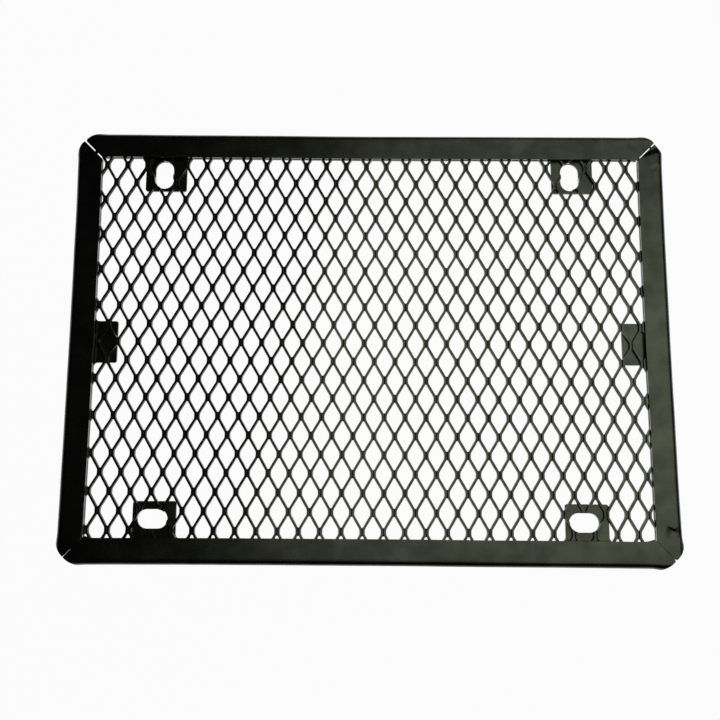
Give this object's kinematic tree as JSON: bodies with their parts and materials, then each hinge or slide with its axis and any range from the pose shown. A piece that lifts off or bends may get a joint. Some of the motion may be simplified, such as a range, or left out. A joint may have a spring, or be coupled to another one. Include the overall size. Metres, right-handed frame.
{
  "type": "motorcycle radiator guard",
  "caption": "Flat black radiator guard: flattened expanded metal held in four folded sheet rails, with slotted tabs at the corners and a plain tab on each side.",
  "frame": {"origin": "middle of the outline, on the back face that the guard lies on", "axes": "+X to the right seen from the front, +Y up the guard, +Z from the back face to the front face"},
  "size_m": [0.2928, 0.212, 0.004],
  "materials": {
    "rail_paint": "black satin paint over folded steel sheet",
    "mesh_paint": "black semi-gloss paint over expanded steel"
  },
  "bodies": {
    "root": {"mesh_panel": "mesh_paint", "top_rail": "rail_paint", "bottom_rail": "rail_paint", "left_rail": "rail_paint", "right_rail": "rail_paint"}
  },
  "joints": []
}
